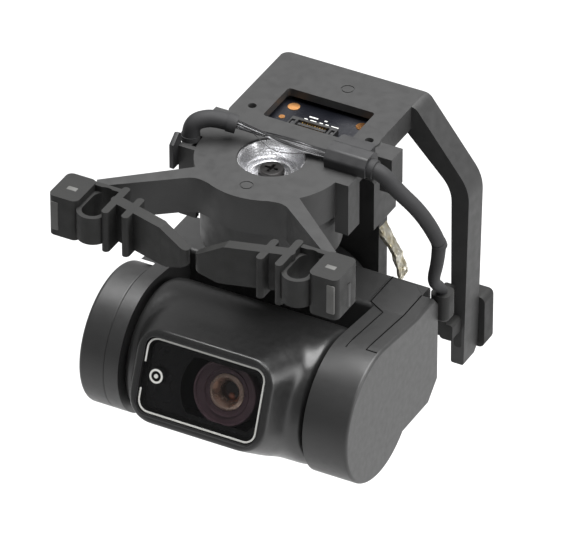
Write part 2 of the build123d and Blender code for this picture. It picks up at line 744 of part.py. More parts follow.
# boot where the cable enters the back of the right arm
boot_top = -21.6
boot_low = -25.8
boot_x = 20.3
boot_y = 31.05
with BuildPart() as cable_boot:
    with BuildSketch(Plane.XY.offset(boot_low)):
        with Locations((boot_x, boot_y)):
            RectangleRounded(2.8, 2.9, 1.0)
    extrude(amount=boot_top - boot_low)
    fillet(cable_boot.edges().group_by(Axis.Z)[0], 0.6)
    add(roll_yoke.part, mode=Mode.SUBTRACT)
    add(pitch_motor_cap.part, mode=Mode.SUBTRACT)
save(cable_boot, "cable_boot")

# ---- camera --------------------------------------------------------------------------
snout_w = 20.4             # the window's raised bezel
snout_h = 13.0
snout_root_w = 26.0
snout_root_h = 17.6
glass_w = 18.2
glass_h = 10.9
glass_t = 0.8
glass_face = window_reach - 0.35
shell_t = 0.9
split_reach = -3.0         # the shells part along this plane, behind the axis
lens_x = 2.6               # the lens sits to one side of the window


def window_blank(width, height, radius):
    RectangleRounded(width, height, radius)


with BuildPart() as camera_body:
    with BuildSketch(pitch_plane(camera_left)):
        Circle(camera_r)
    extrude(amount=camera_right - camera_left)
    with BuildSketch(lens_plane(3.0)):
        window_blank(snout_root_w, snout_root_h, 5.0)
    with BuildSketch(lens_plane(9.0)):
        window_blank(snout_w + 2.4, snout_h + 2.4, 3.6)
    with BuildSketch(lens_plane(window_reach)):
        window_blank(snout_w, snout_h, 2.6)
    loft()
    fillet(camera_body.faces().sort_by(Axis.X)[0].edges(), 0.7)
    fillet(camera_body.faces().sort_by(Axis.X)[-1].edges(), 0.7)

with BuildPart() as camera_cavity:
    with BuildSketch(pitch_plane(camera_left + shell_t)):
        Circle(camera_r - shell_t)
    extrude(amount=camera_right - camera_left - 2 * shell_t)
    with BuildSketch(lens_plane(3.0)):
        window_blank(snout_root_w - 3.2, snout_root_h - 2.4, 4.0)
    with BuildSketch(lens_plane(window_reach - 1.9)):
        window_blank(glass_w - 0.6, glass_h - 0.6, 1.4)
    loft()

with BuildPart() as glass_pocket:
    with BuildSketch(lens_plane(window_reach - 1.95)):
        window_blank(glass_w - 1.4, glass_h - 1.4, 1.2)
    extrude(amount=1)
    with BuildSketch(lens_plane(glass_face - glass_t - 0.25)):
        window_blank(glass_w, glass_h, 1.7)
    extrude(amount=3)

with BuildPart() as camera_front_shell:
    add(camera_body.part)
    add(camera_cavity.part, mode=Mode.SUBTRACT)
    add(glass_pocket.part, mode=Mode.SUBTRACT)
    split(bisect_by=lens_plane(split_reach), keep=Keep.TOP)
    # clearance for the shaft and the pivot
    with BuildSketch(pitch_plane(camera_right + 1)):
        Circle(pitch_shaft_r)
    extrude(amount=-3, mode=Mode.SUBTRACT)
    with BuildSketch(pitch_plane(camera_left - 1)):
        Circle(pivot_r)
    extrude(amount=3, mode=Mode.SUBTRACT)
save(camera_front_shell, "camera_front_shell")

with BuildPart() as camera_rear_shell:
    add(camera_body.part)
    add(camera_cavity.part, mode=Mode.SUBTRACT)
    split(bisect_by=lens_plane(split_reach), keep=Keep.BOTTOM)
save(camera_rear_shell, "camera_rear_shell")

with BuildPart() as window_glass:
    with BuildSketch(lens_plane(glass_face - glass_t)):
        window_blank(glass_w - 0.1, glass_h - 0.1, 1.65)
    extrude(amount=glass_t)
    fillet(window_glass.faces().sort_by(plane_height(lens_plane(0)))[-1].edges(), 0.15)
save(window_glass, "window_glass")

with BuildPart() as window_gasket:
    with BuildSketch(lens_plane(glass_face - glass_t - 0.25)):
        window_blank(glass_w - 0.1, glass_h - 0.1, 1.65)
        RectangleRounded(glass_w - 1.5, glass_h - 1.5, 1.2, mode=Mode.SUBTRACT)
    extrude(amount=0.25)
save(window_gasket, "window_gasket")

# lens, stacked along its own axis
lens_back = 1.6
lens_front = 11.6
barrel_r = 4.3


def lens_spot():
    return Locations((lens_x, 0))


with BuildPart() as lens_barrel:
    with BuildSketch(lens_plane(lens_back)):
        with lens_spot():
            Circle(barrel_r - 0.5)
    extrude(amount=4.0)
    with BuildSketch(lens_plane(lens_back + 4.0)):
        with lens_spot():
            Circle(barrel_r)
    extrude(amount=lens_front - lens_back - 4.0)
    with BuildSketch(lens_plane(lens_back)):
        with lens_spot():
            Circle(2.6)
    extrude(amount=lens_front - lens_back, mode=Mode.SUBTRACT)
save(lens_barrel, "lens_barrel")

lens_ring_back = 9.6
with BuildPart() as lens_ring:
    with BuildSketch(lens_plane(lens_ring_back)):
        with lens_spot():
            Circle(2.6)
            Circle(1.5, mode=Mode.SUBTRACT)
    extrude(amount=1.2)
    with BuildSketch(lens_plane(lens_ring_back + 0.5)):
        with lens_spot():
            Circle(1.9)
    with BuildSketch(lens_plane(lens_ring_back + 1.2)):
        with lens_spot():
            Circle(2.35)
    loft(mode=Mode.SUBTRACT)
save(lens_ring, "lens_ring")


def lens_element(reach, thickness, radius, crown):
    """A round glass element whose front is crowned."""
    with BuildPart() as element:
        with BuildSketch(lens_plane(reach)):
            with lens_spot():
                Circle(radius)
        extrude(amount=thickness)
        with BuildSketch(lens_plane(reach + thickness)):
            with lens_spot():
                Circle(radius - 0.1)
        with BuildSketch(lens_plane(reach + thickness + crown)):
            with lens_spot():
                Circle(radius * 0.55)
        loft()
    return element


save(lens_element(8.2, 1.0, 2.6, 0.3), "lens_front_element")
save(lens_element(3.6, 1.4, 2.6, 0.3), "lens_rear_element")

with BuildPart() as sensor_board:
    with BuildSketch(lens_plane(-1.0)):
        with Locations((lens_x - 1.2, 0)):
            RectangleRounded(14.0, 11.0, 0.6)
    extrude(amount=0.8)
save(sensor_board, "sensor_board")
with BuildPart() as image_sensor:
    with BuildSketch(lens_plane(-0.2)):
        with lens_spot():
            Rectangle(8.6, 7.4)
    extrude(amount=1.2)
save(image_sensor, "image_sensor")
with BuildPart() as sensor_bracket:
    with BuildSketch(lens_plane(-0.2)):
        with lens_spot():
            Rectangle(10.6, 9.6)
            Rectangle(8.8, 7.6, mode=Mode.SUBTRACT)
    extrude(amount=1.8)
    with BuildSketch(lens_plane(1.0)):
        with lens_spot():
            Rectangle(8.8, 7.6)
            Circle(3.2, mode=Mode.SUBTRACT)
    extrude(amount=0.6)
save(sensor_bracket, "sensor_bracket")

# pitch motor, moving half, on the camera's shaft
rotor_in = 15.5
rotor_out = 19.2
with BuildPart() as pitch_rotor_cup:
    with BuildSketch(pitch_plane(rotor_in)):
        Circle(8.1)
        Circle(7.6, mode=Mode.SUBTRACT)
    extrude(amount=rotor_out - rotor_in)
    with BuildSketch(pitch_plane(rotor_out - 0.5)):
        Circle(8.1)
        Circle(pitch_shaft_r - shaft_gap, mode=Mode.SUBTRACT)
    extrude(amount=0.5)
save(pitch_rotor_cup, "pitch_rotor_cup")
save(ring(pitch_plane(rotor_in), 2.4, 7.6, pitch_tip_r + 0.35), "pitch_magnet_ring")
with BuildPart() as pitch_shaft:
    with BuildSketch(pitch_plane(camera_right - shell_t)):
        Circle(pitch_shaft_r - shaft_gap)
    extrude(amount=rotor_out - camera_right + shell_t)
    with BuildSketch(pitch_plane(camera_right - shell_t)):
        Circle(2.0)
    extrude(amount=-0.6)
save(pitch_shaft, "pitch_shaft")
with BuildPart() as pivot_stub:
    with BuildSketch(pitch_plane(camera_left + shell_t)):
        Circle(pivot_r - shaft_gap)
    extrude(amount=left_seam + 0.4 - camera_left - shell_t)
    with BuildSketch(pitch_plane(camera_left + shell_t)):
        Circle(2.4)
    extrude(amount=0.6)
save(pivot_stub, "pivot_stub")

# ---- cable ---------------------------------------------------------------------------
sleeve_d = 2.5
bundle_d = 1.5
clamp_left = 7.3           # the saddle's ends
clamp_right = 13.4
pad_high = 1.5             # height of the pad behind the saddle


def tube_along(route, diameter):
    """A round tube on straight runs joined by arcs as large as the runs allow."""
    points = [Vector(*place) for place in route]
    radii = []
    for before, corner, after in zip(points, points[1:], points[2:]):
        turn = (corner - before).get_angle(after - corner)
        short = min((corner - before).length, (after - corner).length)
        radii.append(0.45 * short / tan(radians(turn / 2)))
    print("cable radii", [round(radius, 1) for radius in radii])
    with BuildPart() as tube:
        with BuildLine() as path:
            FilletPolyline(*route, radius=radii)
        with BuildSketch(Plane(origin=points[0], z_dir=points[1] - points[0])):
            Circle(diameter / 2)
        sweep(path=path.line)
    section = pi * diameter ** 2 / 4
    print("cable length", round(path.wires()[0].length, 2), "volume over section times length",
          round(tube.part.volume / (section * path.wires()[0].length), 4))
    return tube


left_route = [(-11.7, 18.9, frame_top), (-11.7, 18.9, 2.2), (-10.9, 19.5, 3.4), (-8.8, 20.8, 3.6),
              (-6.3, 21.7, 2.8)]
wire_route = [(-6.3, 21.7, 2.8), (-2.4, 23.104, 1.552), (3.6, 23.0, 1.3), (7.3, 23.0, 1.3)]
right_route = [(13.4, 22.9, 1.2), (14.9, 22.9, 1.2), (16.9, 23.8, -1.7), (19.5, 25.4, -5.2),
               (20.9, 27.3, -9.6), (21.3, 29.2, -14.0), (boot_x, boot_y, -18.3), (boot_x, boot_y, boot_top)]
for route, diameter, name in ((left_route, sleeve_d, "cable_sleeve_left"),
                              (wire_route, bundle_d, "cable_wires"),
                              (right_route, sleeve_d, "cable_sleeve_right")):
    save(tube_along(route, diameter), name)

# saddle over the cable, and the raised pad behind it
with BuildPart() as cable_clamp:
    with BuildSketch(Plane.YZ.offset(clamp_left)):
        with BuildLine():
            FilletPolyline((21.2, frame_top), (21.0, 2.0), (22.0, 3.1), (24.0, 3.2), (25.0, 2.4),
                           (25.2, frame_top), radius=(0.1, 0.6, 0.6, 0.6, 0.6, 0.1), close=True)
        make_face()
    extrude(amount=clamp_right - clamp_left)
    with BuildSketch(Plane.XY.offset(frame_top)):
        with Locations((9.4, 26.2)):
            RectangleRounded(5.2, 2.4, 0.5)
    extrude(amount=pad_high)
save(cable_clamp, "cable_clamp")

with BuildPart() as cable_clip:
    with BuildSketch(Plane.YZ.offset(-side_out)):
        with BuildLine():
            FilletPolyline((15.2, -2.6), (17.5, -2.6), (17.5, 2.0), (16.8, 2.4), (15.2, 1.2),
                           radius=0.2, close=True)
        make_face()
    extrude(amount=-0.7)
save(cable_clip, "cable_clip")
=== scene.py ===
import bpy
from math import cos, pi, radians, sin
from mathutils import Matrix, Vector


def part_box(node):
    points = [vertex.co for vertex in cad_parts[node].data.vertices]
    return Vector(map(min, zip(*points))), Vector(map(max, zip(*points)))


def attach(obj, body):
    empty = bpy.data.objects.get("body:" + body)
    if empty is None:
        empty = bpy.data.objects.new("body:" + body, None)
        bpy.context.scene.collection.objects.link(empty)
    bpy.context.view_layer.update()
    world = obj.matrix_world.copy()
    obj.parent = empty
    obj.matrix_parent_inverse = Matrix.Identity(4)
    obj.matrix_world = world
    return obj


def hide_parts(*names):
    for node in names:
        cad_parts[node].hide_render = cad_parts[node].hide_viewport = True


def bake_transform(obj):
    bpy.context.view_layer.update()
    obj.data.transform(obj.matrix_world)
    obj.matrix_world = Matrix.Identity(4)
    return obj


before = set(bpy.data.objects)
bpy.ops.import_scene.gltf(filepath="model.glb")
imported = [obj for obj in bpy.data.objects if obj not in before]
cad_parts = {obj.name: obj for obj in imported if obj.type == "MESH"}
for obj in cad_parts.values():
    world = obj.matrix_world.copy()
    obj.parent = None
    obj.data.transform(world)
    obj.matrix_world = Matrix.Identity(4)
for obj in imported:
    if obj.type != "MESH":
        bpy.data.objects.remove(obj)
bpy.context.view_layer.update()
MM = 0.001

# ---- camera ----
# A long lens looks down at the gimbal's front right side, and the body fills most of the picture.
view_azimuth = radians(28.0)
view_elevation = radians(35.0)
view_distance = 1.1
picture_width = 580
pixels_per_metre = 7400
target = Vector((1.7, 22.1, -19.4)) * MM
back = Vector((sin(view_azimuth) * cos(view_elevation), -cos(view_azimuth) * cos(view_elevation),
               sin(view_elevation)))
camera_data = bpy.data.cameras.new("view_camera")
camera_data.sensor_width = 36.0
camera_data.lens = pixels_per_metre * view_distance / picture_width * camera_data.sensor_width
camera_data.clip_start = 0.01
camera = bpy.data.objects.new("view_camera", camera_data)
bpy.context.scene.collection.objects.link(camera)
camera.location = target + back * view_distance
camera.rotation_euler = back.to_track_quat("Z", "Y").to_euler()
bpy.context.scene.camera = camera


# ---- suspension frame ----
# The grey skeleton that hangs in the aircraft's nose: hub, two front arms, rear deck and drop arm.
# It is one moulding of glass-filled nylon, with a fine matt grain and every edge slightly rounded.
def linear(code):
    """An sRGB hex colour as linear RGBA."""
    parts = [int(code[i:i + 2], 16) / 255 for i in (1, 3, 5)]
    return tuple(c / 12.92 if c <= 0.04045 else ((c + 0.055) / 1.055) ** 2.4 for c in parts) + (1.0,)


def add_node(material, kind, links=(), **settings):
    """Adds one shader node with its settings, and links (own input, other node, its output)."""
    added = material.node_tree.nodes.new(kind)
    for name, value in settings.items():
        if hasattr(added, name):
            setattr(added, name, value)
        else:
            added.inputs[name.replace("_", " ")].default_value = value
    for socket, other, output in links:
        material.node_tree.links.new(other.outputs[output], added.inputs[socket])
    return added


def new_material(name, colour, rough, specular=0.5, metallic=0.0):
    material = bpy.data.materials.new(name)
    material.use_nodes = True
    shader = material.node_tree.nodes["Principled BSDF"]
    shader.inputs["Base Color"].default_value = linear(colour)
    shader.inputs["Roughness"].default_value = rough
    shader.inputs["Specular IOR Level"].default_value = specular
    shader.inputs["Metallic"].default_value = metallic
    return material, shader


def grain(material, shader, size, depth, rough_low, rough_high, dark, light):
    """Surface grain of a size in mm: it lifts the surface, and varies its gloss and colour."""
    where = add_node(material, "ShaderNodeTexCoord")
    noise = add_node(material, "ShaderNodeTexNoise", [("Vector", where, "Object")],
                     Scale=1 / (size * MM), Detail=4.0)
    broad = add_node(material, "ShaderNodeTexNoise", [("Vector", where, "Object")],
                     Scale=1 / (14 * size * MM), Detail=2.0)
    bump = add_node(material, "ShaderNodeBump", [("Height", noise, "Fac")],
                    Strength=depth, Distance=0.3 * size * MM)
    rough = add_node(material, "ShaderNodeMapRange", [("Value", broad, "Fac")], From_Min=0.3, From_Max=0.7,
                     To_Min=rough_low, To_Max=rough_high)
    tint = add_node(material, "ShaderNodeMix", [("Factor", broad, "Fac")], data_type="RGBA")
    tint.inputs[6].default_value = linear(dark)
    tint.inputs[7].default_value = linear(light)
    links = material.node_tree.links
    links.new(bump.outputs["Normal"], shader.inputs["Normal"])
    links.new(rough.outputs["Result"], shader.inputs["Roughness"])
    links.new(tint.outputs[2], shader.inputs["Base Color"])


def place(piece, body, slot, material, *replaced):
    """The finished piece rides on its body in its own material, in place of CAD nodes."""
    piece.data.materials.clear()
    piece.data.materials.append(material)
    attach(piece, body)
    if replaced:
        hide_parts(*replaced)
    return piece


def only(piece):
    """Selects one piece and nothing else."""
    bpy.ops.object.select_all(action="DESELECT")
    piece.select_set(True)
    bpy.context.view_layer.objects.active = piece


def apply_modifier(piece, kind, **settings):
    only(piece)
    modifier = piece.modifiers.new(kind.lower(), kind)
    for name, value in settings.items():
        setattr(modifier, name, value)
    bpy.ops.object.modifier_apply(modifier=modifier.name)


def rounded_copy(node_name, piece_name, width, steps=2, corner=30):
    """The part's own faces, welded and flattened, with its sharp edges rounded off."""
    piece = bpy.data.objects.new(piece_name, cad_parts[node_name].data.copy())
    bpy.context.scene.collection.objects.link(piece)
    only(piece)
    bpy.ops.object.mode_set(mode="EDIT")
    bpy.ops.mesh.select_all(action="SELECT")
    bpy.ops.mesh.remove_doubles(threshold=0.001 * MM)
    bpy.ops.mesh.dissolve_limited(angle_limit=radians(1.0))
    bpy.ops.mesh.customdata_custom_splitnormals_clear()
    bpy.ops.object.mode_set(mode="OBJECT")
    apply_modifier(piece, "BEVEL", width=width * MM, segments=steps, limit_method="ANGLE",
                   angle_limit=radians(corner), use_clamp_overlap=True, harden_normals=False)
    bpy.ops.object.shade_smooth_by_angle(angle=radians(40))
    apply_modifier(piece, "WEIGHTED_NORMAL", keep_sharp=True)
    return piece


nylon, nylon_shader = new_material("glass_filled_nylon", "#3a3a3a", 0.5, specular=0.35)
grain(nylon, nylon_shader, 0.10, 0.12, 0.44, 0.56, "#282828", "#2f2f2f")
place(rounded_copy("suspension_frame", "frame_moulding", 0.14), "suspension", "frame_plastic", nylon,
      "suspension_frame")

# ---- yaw arm ----
# The bell over the yaw motor, the box behind it and the wall that holds the roll motor.
# One moulding of the same nylon as the frame, a little darker where it lies in shade.
place(rounded_copy("yaw_arm", "yaw_arm_moulding", 0.16), "yaw_stage", "arm_plastic", nylon, "yaw_arm")

# ---- front dampers ----
# Two soft rubber mouldings on the arms' ends: a block, an open eye, two ridges and a wedge-ended tail.
# Each is moulded over the arm's end blade, which shows through a slot on top and on the outer face.
rubber, rubber_shader = new_material("moulded_silicone_rubber", "#232323", 0.6, specular=0.3)
grain(rubber, rubber_shader, 0.16, 0.45, 0.52, 0.72, "#161616", "#212120")
blade_grey, blade_grey_shader = new_material("cut_nylon_blade", "#4a4a49", 0.6, specular=0.4)
grain(blade_grey, blade_grey_shader, 0.12, 0.6, 0.4, 0.75, "#333332", "#5c5c5a")


def bevelled_block(name, low, high, width, steps=2):
    """A small rectangular piece between two corners in mm, with rounded edges."""
    bpy.ops.object.select_all(action="DESELECT")
    middle = (Vector(low) + Vector(high)) / 2 * MM
    bpy.ops.mesh.primitive_cube_add(size=1.0, location=middle, scale=(Vector(high) - Vector(low)) * MM)
    piece = bpy.context.object
    piece.name = name
    bpy.ops.object.transform_apply(location=True, rotation=True, scale=True)
    apply_modifier(piece, "BEVEL", width=width * MM, segments=steps)
    bpy.ops.object.shade_smooth_by_angle(angle=radians(40))
    return piece


def join(pieces, name):
    """Joins several pieces into one mesh."""
    bpy.ops.object.select_all(action="DESELECT")
    for piece in pieces:
        piece.select_set(True)
    bpy.context.view_layer.objects.active = pieces[0]
    bpy.ops.object.join()
    pieces[0].name = name
    return pieces[0]


for side, hand in ((-1, "left"), (1, "right")):
    node_name = "damper_" + hand
    moulding = rounded_copy(node_name, "rubber_" + node_name, 0.32, steps=3)
    place(moulding, "suspension", "rubber", rubber, node_name)
    low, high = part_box(node_name)
    top = high.z / MM
    pin_x = side * 19.4
    pin = bevelled_block("pin", (pin_x - 0.75, -0.2, top - 0.3), (pin_x + 0.75, 0.65, top + 0.05), 0.12)
    bar_x = side * 20.7
    bar = bevelled_block("bar", (bar_x - 0.6, -2.55, top - 5.4), (bar_x + 0.6, -2.1, top - 0.9), 0.2)
    place(join([pin, bar], "blade_end_" + hand), "suspension", "frame_plastic", blade_grey)

# ---- rear damper ----
# The rubber block behind the drop arm's foot, with a plug through it and a bump head in front.
# Moulded in one with the softer rubber of the front dampers.
place(rounded_copy("damper_rear", "rubber_damper_rear", 0.3, steps=3), "suspension", "rubber", rubber,
      "damper_rear")

# ---- yaw bearing cup, shaft and screw ----
# A turned aluminium cup is pressed into the hub. Its cone is left bright from the lathe, with fine rings,
# and a black cross-head screw with a steel washer closes the shaft in its middle.
lathe, lathe_shader = new_material("turned_bright_aluminium", "#d8d8da", 0.28, metallic=1.0)
where = add_node(lathe, "ShaderNodeTexCoord")
centre = add_node(lathe, "ShaderNodeMapping", [("Vector", where, "Object")])
centre.inputs["Location"].default_value = (0, -20.0 * MM, 0)
rings = add_node(lathe, "ShaderNodeTexWave", [("Vector", centre, "Vector")], wave_type="RINGS",
                 rings_direction="Z", Scale=pi / (10 * 0.16 * MM), Distortion=0.4, Detail=2.0)
speckle = add_node(lathe, "ShaderNodeTexNoise", [("Vector", where, "Object")],
                   Scale=1 / (0.12 * MM), Detail=5.0)
lathe_bump = add_node(lathe, "ShaderNodeBump", [("Height", rings, "Fac")], Strength=0.3, Distance=0.02 * MM)
lathe_rough = add_node(lathe, "ShaderNodeMapRange", [("Value", speckle, "Fac")], From_Min=0.35, From_Max=0.65,
                       To_Min=0.18, To_Max=0.42)
lathe.node_tree.links.new(lathe_bump.outputs["Normal"], lathe_shader.inputs["Normal"])
lathe.node_tree.links.new(lathe_rough.outputs["Result"], lathe_shader.inputs["Roughness"])
yaw_axis = Matrix.Translation(Vector((0, 20.0, 0)) * MM)


def settle(piece, seat):
    """Moves a piece that was modelled about the origin to its seat, and applies the move."""
    piece.matrix_world = seat
    only(piece)
    bpy.ops.object.transform_apply(location=True, rotation=True, scale=True)
    return piece


def spun(name, profile, seat, steps=72):
    """A turned piece about +Z, put in its seat: its profile is a closed list of radius and height in mm."""
    mesh = bpy.data.meshes.new(name)
    points = [(radius * MM, 0, height * MM) for radius, height in profile]
    closed = [(i, (i + 1) % len(points)) for i in range(len(points))]
    mesh.from_pydata(points, closed, [])
    piece = bpy.data.objects.new(name, mesh)
    bpy.context.scene.collection.objects.link(piece)
    only(piece)
    bpy.ops.object.mode_set(mode="EDIT")
    bpy.ops.mesh.select_all(action="SELECT")
    bpy.ops.mesh.spin(steps=steps, angle=2 * pi, center=(0, 0, 0), axis=(0, 0, 1))
    bpy.ops.mesh.select_all(action="SELECT")
    bpy.ops.mesh.remove_doubles(threshold=0.002 * MM)
    bpy.ops.mesh.normals_make_consistent(inside=False)
    bpy.ops.object.mode_set(mode="OBJECT")
    bpy.ops.object.shade_smooth_by_angle(angle=radians(35))
    return settle(piece, seat)


cup = spun("yaw_cup", [(2.15, -10.0), (2.75, -10.0), (2.75, -3.6), (4.66, -3.6), (4.66, 0.1), (4.56, 0.2),
                       (4.42, 0.2), (4.3, 0.05), (4.1, -0.5), (3.55, -1.75), (3.45, -1.8), (3.4, -1.62),
                       (3.3, -1.55), (3.2, -1.62), (3.15, -2.1), (2.8, -2.15), (2.75, -1.95), (2.65, -1.9),
                       (2.55, -1.95), (2.5, -2.6), (2.15, -2.6)], yaw_axis)
place(cup, "suspension", "bright_aluminium", lathe, "yaw_bearing_cup")
black_oxide, black_oxide_shader = new_material("black_oxide_steel", "#1b1a1a", 0.4, metallic=0.6)
grain(black_oxide, black_oxide_shader, 0.08, 0.15, 0.3, 0.5, "#141313", "#232120")
place(rounded_copy("yaw_screw", "cross_head_screw", 0.08), "yaw_stage", "black_steel", black_oxide,
      "yaw_screw")

# ---- roll motor's rear cover ----
# A pressed disc that closes the roll motor's bearing seat, glued into the yaw arm's wall.
# Its painted surface is smoother than the nylon.
paint_grey, paint_grey_shader = new_material("satin_grey_paint", "#2e2e2e", 0.44, specular=0.45)
grain(paint_grey, paint_grey_shader, 0.07, 0.08, 0.38, 0.46, "#2a2a2a", "#2c2c2c")
place(rounded_copy("roll_cover", "roll_cover_disc", 0.12), "yaw_stage", "cover_plastic", paint_grey,
      "roll_cover")

# ---- roll yoke and its caps ----
# The U-shaped fork that carries the camera between its arms: yoke, deep left cap, right side plate with the
# motor's disc, and a cover on the right shoulder. All are moulded and sprayed with a soft satin grey.
for node_name, piece_name, slot, edge in (("roll_yoke", "yoke_fork", "yoke_plastic", 0.28),
                                          ("pivot_cap_left", "left_cap", "cover_plastic", 0.3),
                                          ("pitch_motor_cap", "right_side_plate", "cover_plastic", 0.1),
                                          ("arm_cover", "shoulder_cover", "cover_plastic", 0.06)):
    place(rounded_copy(node_name, piece_name, edge, steps=3), "roll_stage", slot, paint_grey, node_name)
place(rounded_copy("cable_boot", "cable_boot_rubber", 0.25), "roll_stage", "rubber", rubber, "cable_boot")

# ---- seams of the right arm ----
# The arm's cover and side plate meet the yoke in fine open joints that lie in shadow. Each is drawn as a dark
# bead sunk into the surface, because the real gap is a tenth of a millimetre wide.
seam_dark, seam_dark_shader = new_material("shadowed_parting_line", "#0b0b0b", 0.9, specular=0.1)
grain(seam_dark, seam_dark_shader, 0.1, 0.1, 0.85, 0.95, "#090909", "#0e0e0e")


def soft_tube(name, points, radius, sides=3, steps=12, kind="NURBS", end_share=1.0):
    """A round tube in mm along a smooth or straight-sided line, which may thin towards its end."""
    curve = bpy.data.curves.new(name, "CURVE")
    curve.dimensions = "3D"
    curve.bevel_depth = radius * MM
    curve.bevel_resolution = sides
    curve.use_fill_caps = True
    spline = curve.splines.new(kind)
    spline.points.add(len(points) - 1)
    for number, (knot, point) in enumerate(zip(spline.points, points)):
        knot.co = (*(Vector(point) * MM), 1.0)
        knot.radius = 1.0 + (end_share - 1.0) * number / (len(points) - 1)
    spline.order_u = 3
    spline.use_endpoint_u = True
    spline.resolution_u = steps
    piece = bpy.data.objects.new(name, curve)
    bpy.context.scene.collection.objects.link(piece)
    only(piece)
    bpy.ops.object.convert(target="MESH")
    piece = bpy.context.object
    bpy.ops.object.mode_set(mode="EDIT")
    bpy.ops.mesh.select_all(action="SELECT")
    bpy.ops.mesh.remove_doubles(threshold=0.001 * MM)
    bpy.ops.mesh.normals_make_consistent(inside=False)
    bpy.ops.object.mode_set(mode="OBJECT")
    bpy.ops.object.shade_smooth_by_angle(angle=radians(50))
    return piece


arm_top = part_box("arm_cover")[1].z / MM
disc_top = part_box("pitch_motor_cap")[1].z / MM
cover_seam = [(13.0, 30.6, arm_top), (13.0, 24.1, arm_top), (15.7, 22.4, arm_top + 0.1),
              (15.7, 13.9, disc_top - 0.07), (15.7, 11.7, disc_top - 0.05)]
plate_seam = [(18.45, 28.4, arm_top), (18.45, 23.3, arm_top), (18.45, 13.9, disc_top - 0.07),
              (18.45, 12.3, disc_top), (20.05, 12.3, disc_top)]
seams = [soft_tube("seam", line, 0.1, sides=1, kind="POLY") for line in (cover_seam, plate_seam)]
place(join(seams, "arm_seams"), "roll_stage", "cover_plastic", seam_dark)

def dress(material, *node_names):
    """Gives CAD nodes that keep their own shape the finish of the real part."""
    for node_name in node_names:
        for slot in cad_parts[node_name].material_slots:
            slot.material = material


# ---- control board ----
# A small board clipped under the deck, seen through the deck's window: black solder mask over copper tracks,
# bare pads at its corners, and a board-to-board connector with two rows of gold contacts.
mask, mask_shader = new_material("black_solder_mask", "#15161a", 0.3)
grain(mask, mask_shader, 0.45, 0.3, 0.2, 0.42, "#0d0e12", "#1b1c22")
dress(mask, "control_board")
socket_plastic, socket_plastic_shader = new_material("black_lcp_moulding", "#1d1d1e", 0.45)
grain(socket_plastic, socket_plastic_shader, 0.08, 0.15, 0.38, 0.55, "#171718", "#242425")
place(rounded_copy("board_connector", "connector_moulding", 0.05), "suspension", "connector", socket_plastic,
      "board_connector")
copper, copper_shader = new_material("tinned_copper_pad", "#b07848", 0.35, metallic=0.9)
grain(copper, copper_shader, 0.2, 0.3, 0.25, 0.5, "#8a5a34", "#d09a62")
dress(copper, "board_pads")
gold, gold_shader = new_material("gold_plating", "#e0b25c", 0.25, metallic=1.0)
grain(gold, gold_shader, 0.06, 0.1, 0.2, 0.34, "#d09c48", "#efc878")
contact_low, contact_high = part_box("board_contacts")
contacts_in_row = 10
contact_step = (contact_high.x - contact_low.x) / MM / contacts_in_row
contact_depth = 0.55
contacts = []
for row in (0, 1):
    for place_in_row in range(contacts_in_row):
        left = contact_low.x / MM + (place_in_row + 0.22) * contact_step
        front = (contact_low.y / MM, contact_high.y / MM - contact_depth)[row]
        right = left + 0.56 * contact_step
        contacts.append(bevelled_block("contact", (left, front, contact_low.z / MM),
                                       (right, front + contact_depth, contact_high.z / MM), 0.03))
place(join(contacts, "gold_contacts"), "suspension", "gold", gold, "board_contacts")
print_white, print_white_shader = new_material("white_screen_print", "#d4d4d0", 0.6)
grain(print_white, print_white_shader, 0.15, 0.1, 0.5, 0.7, "#bdbdb8", "#dededa")
board_low, board_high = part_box("control_board")
board_top = board_high.z / MM
middle_x = (board_low.x + board_high.x) / 2 / MM
print_back = contact_high.y / MM + 1.6
first_row = ((-2.6, 0.5), (-1.7, 0.9), (-0.3, 0.5), (0.6, 0.5), (1.5, 1.1))
second_row = ((-2.2, 1.3), (0.1, 0.4))
dashes = []
for row_y, row in ((print_back, first_row), (print_back + 0.75, second_row)):
    for start, length in row:
        low = (middle_x + start, row_y, board_top - 0.01)
        high = (middle_x + start + length, row_y + 0.22, board_top + 0.03)
        dashes.append(bevelled_block("dash", low, high, 0.01, 1))
place(join(dashes, "board_print"), "suspension", "board", print_white)

# ---- cable clamp and clip ----
# A saddle of soft-touch nylon clamps the cable on the hub, with a raised pad behind it, and a small clip
# on the left wall guides the sleeve. Both are snapped onto the frame.
clamp_black, clamp_black_shader = new_material("moulded_black_nylon", "#262627", 0.5, specular=0.4)
grain(clamp_black, clamp_black_shader, 0.12, 0.2, 0.42, 0.6, "#1f1f20", "#29292a")
place(rounded_copy("cable_clamp", "cable_saddle", 0.2, steps=3), "suspension", "frame_plastic", clamp_black,
      "cable_clamp")
place(rounded_copy("cable_clip", "sleeve_clip", 0.12), "suspension", "frame_plastic", clamp_black,
      "cable_clip")

# ---- cable ----
# One bundle of thin varnished wires crosses the hub. Soft rubber sleeves cover it where it turns down at the
# left and where it hangs down to the yoke's shoulder, long enough for the gimbal to turn.
sleeve_rubber, sleeve_rubber_shader = new_material("extruded_soft_rubber", "#2a2a2b", 0.7, specular=0.3)
grain(sleeve_rubber, sleeve_rubber_shader, 0.14, 0.4, 0.6, 0.8, "#222223", "#2e2e2f")
varnished, varnished_shader = new_material("varnished_wire", "#1c1c1d", 0.3, specular=0.6)
grain(varnished, varnished_shader, 0.3, 0.1, 0.22, 0.4, "#141415", "#2c2c2d")
tinned, tinned_shader = new_material("tinned_wire", "#a8a8aa", 0.3, metallic=0.9)
grain(tinned, tinned_shader, 0.3, 0.2, 0.2, 0.4, "#8c8c8e", "#c4c4c6")


